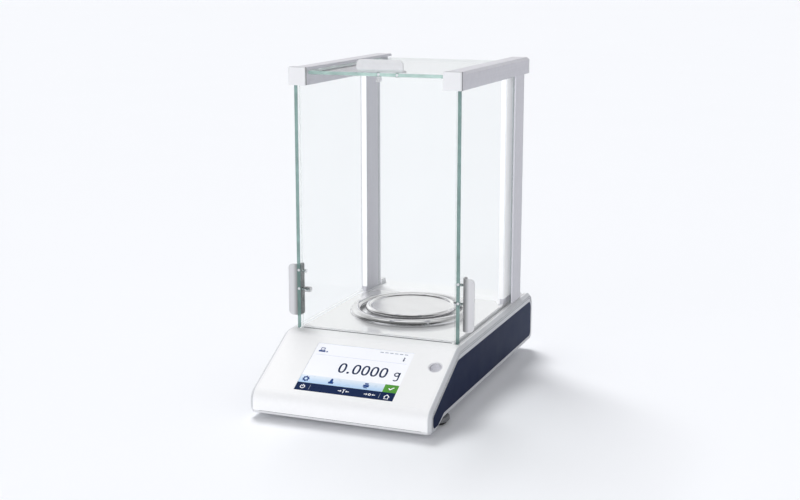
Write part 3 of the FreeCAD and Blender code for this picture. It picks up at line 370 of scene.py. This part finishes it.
def inlay():
    """Deep navy moulding with a low gloss, fading a little paler towards its rear end."""
    fade_start, fade_end, fade_share = -50 * MM, 170 * MM, 0.35
    paint = Paint("navy_inlay_moulding", (0.0065, 0.015, 0.056), 0.5, Specular_IOR_Level=0.05)
    paint.vary_colour(0.1, 9).vary_roughness(0.03, 40)
    back = paint.ranged(paint.split(paint.coords)[1], fade_start, fade_end, 0, fade_share)
    base = paint.shader.inputs["Base Color"]
    paint.link(paint.mix(back, base.links[0].from_socket, (0.05, 0.07, 0.125, 1)), base)
    return paint.bump(paint.noise(1500, 2), 0.000015).material


def window():
    """The touch screen's cover: grey at its printed border, under gloss."""
    paint = Paint("screen_cover", (0.42, 0.44, 0.5), 0.14, Specular_IOR_Level=0.5)
    paint.vary_colour(0.04, 30).vary_roughness(0.03, 120)
    return paint.bump(paint.noise(500, 2), 0.000003).material


NAVY = inlay()
WINDOW = window()

FINISH = {
    WHITE: ("upper_housing",),
    CAP_WHITE: ("right_front_cap", "left_front_cap", "column_feet"),
    GREY: ("right_side_cover", "left_side_cover", "rail_end_caps"),
    SHADED_CUP_WHITE: ("level_cup",),
    WINDOW: ("touch_screen",),
    TRAY: ("lower_housing", "hook_cover"),
    TRACK: ("right_door_track",),
    GLOWING_LEFT_TRACK: ("left_door_track",),
    FOOT: ("right_foot_screw", "left_foot_screw"),
    NAVY: ("right_side_inlay", "left_side_inlay"),
    OVERLAY: ("terminal_overlay",),
    RUBBER: ("rear_feet", "right_foot_pad", "left_foot_pad"),
    ENAMEL: ("floor_plate",),
    RAIL: ("right_top_rail", "left_top_rail"),
    COLUMN: ("right_rear_column", "left_rear_column", "right_outer_leg", "left_outer_leg"),
    HANDLE: ("right_door_handle", "left_door_handle"),
    LID_HANDLE: ("top_door_handle",),
    CHROME: ("right_door_fixings", "left_door_fixings", "top_door_fixings"),
    STEEL: ("housing_screws", "cell_flexures", "load_carrier"),
    SOCKET: ("serial_port", "usb_device_port", "usb_host_port"),
    DARK: ("dc_jack",),
    ALLOY: ("cell_bracket", "cell_body", "cell_lever", "pan_support"),
    IRON: ("magnet_pot",),
    BRASS: ("board_posts", "foot_inserts"),
    COPPER: ("force_coil",),
    PAN_STEEL: ("weighing_pan",),
    RING_STEEL: ("wind_ring",),
    BOARD: ("main_board", "display_module"),
    RIGHT_GLASS: ("right_door_glass",),
    LEFT_GLASS: ("left_door_glass",),
    FRONT_GLASS: ("front_glass",),
    REAR_GLASS: ("rear_glass",),
    LID_GLASS: ("top_door_glass",),
    LENS: ("level_lens",),
}


def dress(thing, material):
    """Puts a material in every slot of a piece, or in a first slot if it has none."""
    if not thing.material_slots:
        thing.data.materials.append(material)
    for place in thing.material_slots:
        place.material = material


def made(name, build, material):
    """The finished object from a bmesh, with its material."""
    mesh = bpy.data.meshes.new(name)
    build.to_mesh(mesh)
    build.free()
    piece = bpy.data.objects.new(name, mesh)
    bpy.context.scene.collection.objects.link(piece)
    dress(piece, material)
    return piece


def finish_nodes():
    for material, names in FINISH.items():
        for name in names:
            dress(NODES[name], material)


# ---------------------------------------------------------------- the display
def slope_frame():
    """The screen's own axes: its top left corner, then unit vectors to the right, down and out."""
    low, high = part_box("touch_screen")
    corners = [v.co for v in NODES["touch_screen"].data.vertices]
    out = max(NODES["touch_screen"].data.polygons, key=lambda p: p.area * (p.normal.z > 0.5)).normal.copy()
    down = Vector((1, 0, 0)).cross(out).normalized()
    if down.z > 0:
        down = -down
    face = max(corner.dot(out) for corner in corners)
    top = min(corner.dot(down) for corner in corners)
    start = Vector((low.x, 0, 0)) + out * face + down * top
    wide = high.x - low.x
    tall = max(corner.dot(down) for corner in corners) - top
    return start, Vector((1, 0, 0)), down, out, wide, tall


START, ACROSS, DOWN, OUT, WIDE, TALL = slope_frame()
MARGIN = 0.7 * MM
LAYER = 0.03 * MM


def screen_point(u, v, layer=1):
    """The point at shares u across and v down the lit area, so many thin layers above the cover."""
    return (START + ACROSS * (MARGIN + u * (WIDE - 2 * MARGIN))
            + DOWN * (MARGIN + v * (TALL - 2 * MARGIN)) + OUT * (LAYER * layer))


def flat_piece(name, outlines, material, layer):
    """A thin printed or lit shape on the screen, from closed outlines of (u, v) points."""
    build = bmesh.new()
    for outline in outlines:
        build.faces.new([build.verts.new(screen_point(u, v, layer)) for u, v in outline])
    bmesh.ops.recalc_face_normals(build, faces=build.faces)
    for face in build.faces:
        face.normal_update()
        if face.normal.dot(OUT) < 0:
            face.normal_flip()
    walls = bmesh.ops.extrude_face_region(build, geom=build.faces[:])
    lower = [item for item in walls["geom"] if isinstance(item, bmesh.types.BMVert)]
    bmesh.ops.translate(build, vec=-OUT * LAYER * 0.9, verts=lower)
    bmesh.ops.recalc_face_normals(build, faces=build.faces)
    piece = made(name, build, material)
    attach(piece, "base")
    return piece


ASPECT = (WIDE - 2 * MARGIN) / (TALL - 2 * MARGIN)


def around(u, v, radius, angle):
    """The point at an angle on a circle that is round on the screen; the radius is a share of the width."""
    return u + radius * math.cos(angle), v + radius * ASPECT * math.sin(angle)


def rounded(u0, v0, u1, v1, radius):
    """A rectangle with round corners."""
    steps = 6
    points = []
    for cu, cv, turn in ((u1, v0, -90), (u1, v1, 0), (u0, v1, 90), (u0, v0, 180)):
        mid_u = cu - math.copysign(radius, cu - (u0 + u1) / 2)
        mid_v = cv - math.copysign(radius * ASPECT, cv - (v0 + v1) / 2)
        for k in range(steps + 1):
            points.append(around(mid_u, mid_v, radius, math.radians(turn + 90 * k / steps)))
    return points


def disc(u, v, radius, steps=28):
    return [around(u, v, radius, 2 * math.pi * k / steps) for k in range(steps)]


def bar(u0, v0, u1, v1):
    return [(u0, v0), (u1, v0), (u1, v1), (u0, v1)]


def arc_band(u, v, radius, thick, start, end):
    """A curved stroke round (u, v) between two angles in degrees, clockwise from the right."""
    steps = 20
    angles = [math.radians(start + (end - start) * k / steps) for k in range(steps + 1)]
    outer = [around(u, v, radius + thick / 2, angle) for angle in angles]
    inner = [around(u, v, radius - thick / 2, angle) for angle in angles]
    return outer + inner[::-1]


def digit_zero(u, v, wide, high):
    """An upright ring, a little squarer than an oval, as two half bands."""
    steps, squareness = 16, 0.82
    stroke_u, stroke_v = 0.25 * wide, 0.13 * high
    sizes = ((wide / 2, high / 2), (wide / 2 - stroke_u, high / 2 - stroke_v))
    bands = []
    for first, last in ((0, 180), (180, 360)):
        rings = []
        for half_wide, half_high in sizes:
            ring = []
            for k in range(steps + 1):
                angle = math.radians(first + (last - first) * k / steps)
                share_u = math.copysign(abs(math.cos(angle)) ** squareness, math.cos(angle))
                share_v = math.copysign(abs(math.sin(angle)) ** squareness, math.sin(angle))
                ring.append((u + half_wide * share_u, v + half_high * share_v))
            rings.append(ring)
        bands.append(rings[0] + rings[1][::-1])
    return bands


def arrow(u, v, reach, up):
    """A small arrow along the bar, pointing right when reach is positive."""
    tip = math.copysign(0.012, reach)
    shaft = bar(min(u, u + reach - tip), v - 0.006, max(u, u + reach - tip), v + 0.006)
    head = [(u + reach - tip, v - up), (u + reach, v), (u + reach - tip, v + up)]
    return [shaft, head]


NAVY_LIT = lit("display_navy", (0.011, 0.023, 0.072), 0.12)
WHITE_LIT = lit("display_white", (0.8, 0.81, 0.85), 0.22)
BLUE_LIT = lit("display_blue", (0.02, 0.06, 0.22), 0.1)
GREEN_LIT = lit("display_green", (0.09, 0.29, 0.05), 0.12)
GREY_LIT = lit("display_grey", (0.33, 0.36, 0.42), 0.1)
PALE_LIT = lit("display_pale_line", (0.6, 0.63, 0.68), 0.12)


STRIP_TOP, BAR_TOP, GREEN_LEFT = 0.68, 0.835, 0.857


def strip_gradient():
    """Pale blue strip that fades from light at its top to deeper blue at its foot."""
    paint = Paint("display_strip", (0.55, 0.7, 0.88), 0.3)
    top, foot = screen_point(0, STRIP_TOP).z, screen_point(0, BAR_TOP).z
    share = paint.ranged(paint.split(paint.coords)[2], foot, top)
    colour = paint.mix(share, (0.38, 0.56, 0.78, 1), (0.72, 0.78, 0.85, 1))
    paint.link(colour, paint.shader.inputs["Base Color"])
    paint.link(colour, paint.shader.inputs["Emission Color"])
    paint.shader.inputs["Emission Strength"].default_value = 0.14
    paint.vary_roughness(0.04, 150)
    return paint.material


def display():
    """The screen's ground, read-out, icons and buttons, all generic, placed by shares of the lit area."""
    flat_piece("display_ground", [rounded(0, 0, 1, 1, 0.006)], WHITE_LIT, 1)
    edge_u, edge_v = 0.004, 0.004 * ASPECT
    frame_bars = [bar(-edge_u, -edge_v, 1 + edge_u, 0), bar(-edge_u, 1, 1 + edge_u, 1 + edge_v),
                  bar(-edge_u, 0, 0, 1), bar(1, 0, 1 + edge_u, 1)]
    flat_piece("display_frame", frame_bars, GREY_LIT, 2)
    flat_piece("display_header_line", [bar(0.03, 0.237, 0.97, 0.242)], PALE_LIT, 2)
    flat_piece("display_strip", [bar(0, STRIP_TOP, GREEN_LEFT, BAR_TOP)], strip_gradient(), 2)
    flat_piece("display_green_button", [bar(GREEN_LEFT + 0.003, STRIP_TOP, 1, BAR_TOP)], GREEN_LIT, 2)
    flat_piece("display_bar", [bar(0, BAR_TOP, 1, 1)], NAVY_LIT, 2)
    reading = []
    for place in (0.37, 0.514, 0.606, 0.698, 0.79):
        reading += digit_zero(place, 0.462, 0.078, 0.2)
    reading.append(disc(0.44, 0.545, 0.013))
    flat_piece("display_reading", reading, NAVY_LIT, 2)
    unit = [arc_band(0.925, 0.468, 0.022, 0.013, 0, 358), bar(0.944, 0.424, 0.957, 0.56),
            arc_band(0.929, 0.56, 0.022, 0.013, 0, 140)]
    flat_piece("display_unit", unit, NAVY_LIT, 2)
    scale_icon = [bar(0.055, 0.09, 0.099, 0.103), bar(0.055, 0.103, 0.063, 0.148),
                  bar(0.091, 0.103, 0.099, 0.148), bar(0.068, 0.13, 0.086, 0.139),
                  bar(0.042, 0.148, 0.112, 0.18), disc(0.13, 0.168, 0.009)]
    flat_piece("display_balance_icon", scale_icon, BLUE_LIT, 2)
    rule = [bar(0.66 + 0.05 * k, 0.045, 0.695 + 0.05 * k, 0.06) for k in range(6)]
    flat_piece("display_text_rule", rule, GREY_LIT, 2)
    flat_piece("display_info_icon", [disc(0.925, 0.122, 0.008), bar(0.918, 0.14, 0.932, 0.19)], NAVY_LIT, 2)
    teeth = [disc(*around(0.064, 0.757, 0.03, k * math.pi / 4), 0.008, 8) for k in range(8)]
    flat_piece("display_gear_icon", [arc_band(0.064, 0.757, 0.022, 0.014, 0, 358)] + teeth, BLUE_LIT, 3)
    weight = [bar(0.3, 0.762, 0.352, 0.802), bar(0.311, 0.732, 0.341, 0.762), disc(0.326, 0.718, 0.012)]
    flat_piece("display_weight_icon", weight, BLUE_LIT, 3)
    printer = [bar(0.652, 0.74, 0.711, 0.782), bar(0.663, 0.706, 0.7, 0.734), bar(0.663, 0.788, 0.7, 0.806)]
    flat_piece("display_printer_icon", printer, BLUE_LIT, 3)
    tick = [[(0.905, 0.76), (0.915, 0.748), (0.927, 0.768), (0.955, 0.725), (0.964, 0.735), (0.928, 0.79)]]
    flat_piece("display_tick_icon", tick, WHITE_LIT, 3)
    power = [arc_band(0.07, 0.918, 0.021, 0.008, -60, 240), bar(0.066, 0.872, 0.074, 0.916)]
    flat_piece("display_power_icon", power, WHITE_LIT, 3)
    dividers = [bar(0.142, 0.87, 0.1455, 0.965), bar(0.85, 0.87, 0.8535, 0.965)]
    flat_piece("display_dividers", dividers, GREY_LIT, 3)
    tare = arrow(0.435, 0.917, 0.036, 0.02) + arrow(0.547, 0.917, -0.036, 0.02)
    tare += [bar(0.478, 0.882, 0.504, 0.893), bar(0.487, 0.893, 0.495, 0.952)]
    flat_piece("display_tare_icon", tare, WHITE_LIT, 3)
    zero = arrow(0.698, 0.917, 0.034, 0.02) + arrow(0.81, 0.917, -0.034, 0.02)
    zero.append(arc_band(0.754, 0.917, 0.011, 0.007, 0, 358))
    flat_piece("display_zero_icon", zero, WHITE_LIT, 3)
    home = [[(0.893, 0.922), (0.925, 0.874), (0.957, 0.922)], bar(0.903, 0.922, 0.947, 0.966)]
    flat_piece("display_home_icon", home, WHITE_LIT, 3)
    hollow = [[(0.906, 0.921), (0.925, 0.893), (0.944, 0.921)], bar(0.91, 0.921, 0.94, 0.957)]
    flat_piece("display_home_hollow", hollow, NAVY_LIT, 4)


# ---------------------------------------------------------------- painted groove shade along the side covers
def rim(node, side):
    """The outline of a node's outermost face on one side, as (y, z) points in order, and its x."""
    build = bmesh.new()
    build.from_mesh(NODES[node].data)
    bmesh.ops.remove_doubles(build, verts=build.verts, dist=1e-6)
    reach = max(vert.co.x * side for vert in build.verts)
    flat = {face for face in build.faces
            if face.normal.x * side > 0.98 and all(reach - vert.co.x * side < 2e-4 for vert in face.verts)}
    step = {}
    for face in flat:
        for loop in face.loops:
            if sum(other in flat for other in loop.edge.link_faces) == 1:
                step[loop.vert.index] = loop.link_loop_next.vert.index
    place = {vert.index: Vector((vert.co.y, vert.co.z)) for vert in build.verts}
    build.free()
    chains = []
    while step:
        first, chain = next(iter(step)), []
        while first in step:
            chain.append(place[first])
            first = step.pop(first)
        chains.append(chain)
    longest = max(chains, key=lambda chain: max(point.x for point in chain) - min(point.x for point in chain))
    return longest, reach * side


def cover_groove_shade(name, node, side, inset, wide):
    """Painted shade: a dark line parallel to the front and top edges of a side cover, standing for the shade
    in its groove.
    """
    outline, plane = rim(node, side)
    count = len(outline)
    turn = sum(a.x * b.y - b.x * a.y for a, b in zip(outline, outline[1:] + outline[:1]))
    spin = 1 if turn > 0 else -1
    rows = []
    for index, point in enumerate(outline):
        before, after = point - outline[index - 1], outline[(index + 1) % count] - point
        if before.length < 1e-7 or after.length < 1e-7:
            rows.append(None)
            continue
        heading = (before.normalized() + after.normalized()).normalized()
        inward = Vector((-heading.y, heading.x)) * spin
        shown = inward.y < -0.12 or inward.x > 0.35
        rows.append((point + inward * inset, point + inward * (inset + wide)) if shown else None)
    build = bmesh.new()
    for row, following in zip(rows, rows[1:] + rows[:1]):
        if row and following:
            corners = (row[0], row[1], following[1], following[0])
            build.faces.new([build.verts.new((plane + side * 0.03 * MM, c.x, c.y)) for c in corners])
    bmesh.ops.remove_doubles(build, verts=build.verts, dist=1e-6)
    grown = bmesh.ops.extrude_face_region(build, geom=build.faces[:])
    inner = [item for item in grown["geom"] if isinstance(item, bmesh.types.BMVert)]
    bmesh.ops.translate(build, vec=(-side * 0.2 * MM, 0, 0), verts=inner)
    bmesh.ops.recalc_face_normals(build, faces=build.faces)
    piece = made(name, build, PAINTED_GROOVE_SHADE)
    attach(piece, "base")


def cover_groove_shades():
    for word, side in SIDES:
        cover_groove_shade(word + "_cover_shade_outer", word + "_side_cover", side, 1.0 * MM, 0.5 * MM)
        cover_groove_shade(word + "_cover_shade_inner", word + "_side_cover", side, 3.0 * MM, 0.6 * MM)


# ---------------------------------------------------------------- glowing facings, cap backs and painted seam shade
def block(name, low, high, material, body, soft):
    """A slab between two corners with softened edges."""
    build = bmesh.new()
    bmesh.ops.create_cube(build, size=1)
    for vert in build.verts:
        vert.co = Vector((low[i] if vert.co[i] < 0 else high[i] for i in range(3)))
    bmesh.ops.bevel(build, geom=build.edges[:], offset=soft, segments=2, affect="EDGES", profile=0.6)
    piece = made(name, build, material)
    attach(piece, body)
    return piece


def column_strips():
    """White facings on each inner column, in a faintly glowing finish that paints light on them: a strip
    along its front edge, and a return on its outer face.
    """
    foot_gap, head_gap = 6 * MM, 1 * MM
    for word, side in SIDES:
        low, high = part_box(word + "_rear_column")
        face = max(low.x * side, high.x * side)
        inner = min(low.x * side, high.x * side) - 1.3 * MM
        left, right = sorted((inner * side, (face - 0.4 * MM) * side))
        block(word + "_column_strip", (left, low.y - 0.9 * MM, low.z + foot_gap),
              (right, low.y + 0.2 * MM, high.z - head_gap), GLOWING_FACING, "base", 0.3 * MM)
        left, right = sorted(((face - 0.2 * MM) * side, (face + 0.25 * MM) * side))
        block(word + "_column_return", (left, low.y + 0.3 * MM, low.z + foot_gap),
              (right, high.y - head_gap, high.z - head_gap), GLOWING_FACING, "base", 0.1 * MM)


def cap_backs():
    """Behind each white cap's face: a dark joint, then a sleeve in the rails' own finish."""
    joint_start, joint_end = 1.5 * MM, 4.2 * MM
    for word, _ in SIDES:
        low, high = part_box(word + "_front_cap")
        for part, start, stop, grown, finish, slot_name in (
                ("joint", joint_start, joint_end, 0.05 * MM, JOINT, "white_cap"),
                ("sleeve", joint_end, high.y - low.y, 0.1 * MM, RAIL, "rail_aluminium")):
            block("%s_cap_%s" % (word, part), (low.x - grown, low.y + start, low.z - grown),
                  (high.x + grown, low.y + stop, high.z + grown), finish, "base", 0.6 * MM)


def seam_shades():
    """Painted shade: a dark line for the shaded gap under the front pane, and one for the shaded joint round
    the front of the base.
    """
    low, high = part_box("front_glass")
    plate_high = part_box("floor_plate")[1]
    block("front_glass_seat_shade", (low.x + 2 * MM, low.y - 0.7 * MM, plate_high.z - 1.3 * MM),
          (high.x - 2 * MM, low.y - 0.1 * MM, plate_high.z - 0.5 * MM), PAINTED_GROOVE_SHADE, "base", 0.15 * MM)
    low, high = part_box("lower_housing")
    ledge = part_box("upper_housing")[0]
    block("front_joint_shade", (low.x + 6 * MM, ledge.y + 0.5 * MM, ledge.z - 0.45 * MM),
          (high.x - 6 * MM, ledge.y + 1.2 * MM, ledge.z + 0.35 * MM), PAINTED_GROOVE_SHADE, "base", 0.15 * MM)


# ---------------------------------------------------------------- bushings of the handle screws
def round_plate(name, centre, radius, thick, axis, material, body):
    """A small disc about one axis, with a softened edge."""
    build = bmesh.new()
    bmesh.ops.create_cone(build, cap_ends=True, segments=32, radius1=radius, radius2=radius, depth=thick)
    rims = [edge for edge in build.edges if abs(edge.verts[0].co.z - edge.verts[1].co.z) < 1e-7]
    bmesh.ops.bevel(build, geom=rims, offset=thick * 0.25, segments=2, affect="EDGES", profile=0.6)
    turn = Vector((0, 0, 1)).rotation_difference(Vector(axis)).to_matrix().to_4x4()
    bmesh.ops.transform(build, matrix=Matrix.Translation(centre) @ turn, verts=build.verts)
    piece = made(name, build, material)
    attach(piece, body)
    return piece


def bushings():
    """Pale plastic bushings that show as dots in the front edge of each door."""
    radius, thick, sunk = 1.4 * MM, 0.3 * MM, 0.04 * MM
    for word in ("right", "left", "top"):
        low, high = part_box(word + "_door_glass")
        clamp_low, clamp_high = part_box(word + "_door_fixings")
        along = 0 if word == "top" else 2
        for part, spot in (("peg", clamp_low[along] + 6 * MM), ("screw", clamp_high[along] + 1 * MM)):
            centre = (low + high) / 2
            centre.y = low.y - sunk
            centre[along] = spot
            round_plate("%s_door_%s_bushing" % (word, part), centre, radius, thick, (0, -1, 0), GREY,
                        word + "_door")


# ---------------------------------------------------------------- floor, light and camera
def floor():
    """Pale paper far past the camera's view, just under the feet."""
    bpy.ops.mesh.primitive_plane_add(size=160)
    ground = bpy.context.object
    ground.name = "floor"
    ground.location.z = -0.4 * MM
    paint = Paint("floor_paper", (0.915, 0.925, 0.955), 0.8, Specular_IOR_Level=0.1)
    paint.vary_colour(0.004, 3)
    dress(ground, paint.material)


def sun(name, heading, strength, spread, shadows=True):
    """Wide soft light on one heading, even over the whole floor; its spread is in degrees."""
    light = bpy.data.lights.new(name, "SUN")
    light.energy = strength
    light.use_shadow = shadows
    light.angle = math.radians(spread)
    lamp = bpy.data.objects.new(name, light)
    bpy.context.scene.collection.objects.link(lamp)
    lamp.visible_glossy = False
    lamp.rotation_euler = Vector(heading).to_track_quat("-Z", "Y").to_euler()


def surround(level, tint):
    """The studio round the balance, which three kinds of ray see in three ways.

    Light comes evenly from it. The camera sees one pale tone. Reflections see a pale sweep that
    varies with height and is brighter to the left, and that fades into a dark room in front.
    """
    sweep = ((0.5, 0.62), (0.54, 0.88), (0.68, 1.05), (0.78, 0.8), (0.86, 0.5), (0.93, 0.9), (1, 1.1))
    world = bpy.data.worlds.new("surround")
    bpy.context.scene.world = world
    sky = Nodes(world)

    def background(colour, strength):
        node = sky.add("ShaderNodeBackground")
        sky.feed(node.inputs[:2], (colour, strength))
        return node.outputs[0]

    x, y, z = sky.split(sky.add("ShaderNodeTexCoord").outputs["Generated"])
    bands = sky.add("ShaderNodeValToRGB")
    ramp = bands.color_ramp.elements
    ramp[0].position, ramp[1].position = sweep[0][0], sweep[-1][0]
    ramp[0].color, ramp[1].color = (sweep[0][1],) * 3 + (1,), (sweep[-1][1],) * 3 + (1,)
    for position, grey in sweep[1:-1]:
        ramp.new(position).color = (grey,) * 3 + (1,)
    sky.link(sky.ranged(z, -1, 1), bands.inputs[0])
    sideways = sky.ranged(x, -0.7, 0.7, 1.15, 0.75)
    room = sky.ranged(sky.math("MULTIPLY_ADD", z, 0.6, y), 0, 0.5, 0.1)
    mirrored = background(bands.outputs[0], sky.math("MULTIPLY", sideways, room))
    ray = sky.add("ShaderNodeLightPath").outputs
    unseen = sky.mix_shader(ray["Is Glossy Ray"], background((*tint, 1), level), mirrored)
    seen = background((0.945, 0.955, 0.985, 1), 1)
    output = sky.add("ShaderNodeOutputWorld")
    sky.link(sky.mix_shader(ray["Is Camera Ray"], unseen, seen), output.inputs[0])


def studio():
    sun("key", (0.36, -0.48, -0.8), 2.18, 26)
    sun("fill", (0.05, 0.95, -0.3), 1.5, 60, shadows=False)
    surround(0.355, (0.97, 0.98, 1))


def camera():
    """The photo's view: from the right front, tipped down to the middle of the balance, with no shift."""
    tipped_down, turned = 12.11, 21.53
    lens = bpy.data.cameras.new("camera")
    lens.lens = 60.6
    lens.sensor_width = 36
    lens.clip_end = 50
    viewer = bpy.data.objects.new("camera", lens)
    bpy.context.scene.collection.objects.link(viewer)
    viewer.location = (0.5181, -1.3206, 0.4492)
    viewer.rotation_euler = (math.radians(90 - tipped_down), 0, math.radians(turned))
    bpy.context.scene.camera = viewer


finish_nodes()
display()
cover_groove_shades()
column_strips()
cap_backs()
seam_shades()
bushings()
floor()
studio()
camera()
bpy.context.scene.view_settings.view_transform = "Standard"
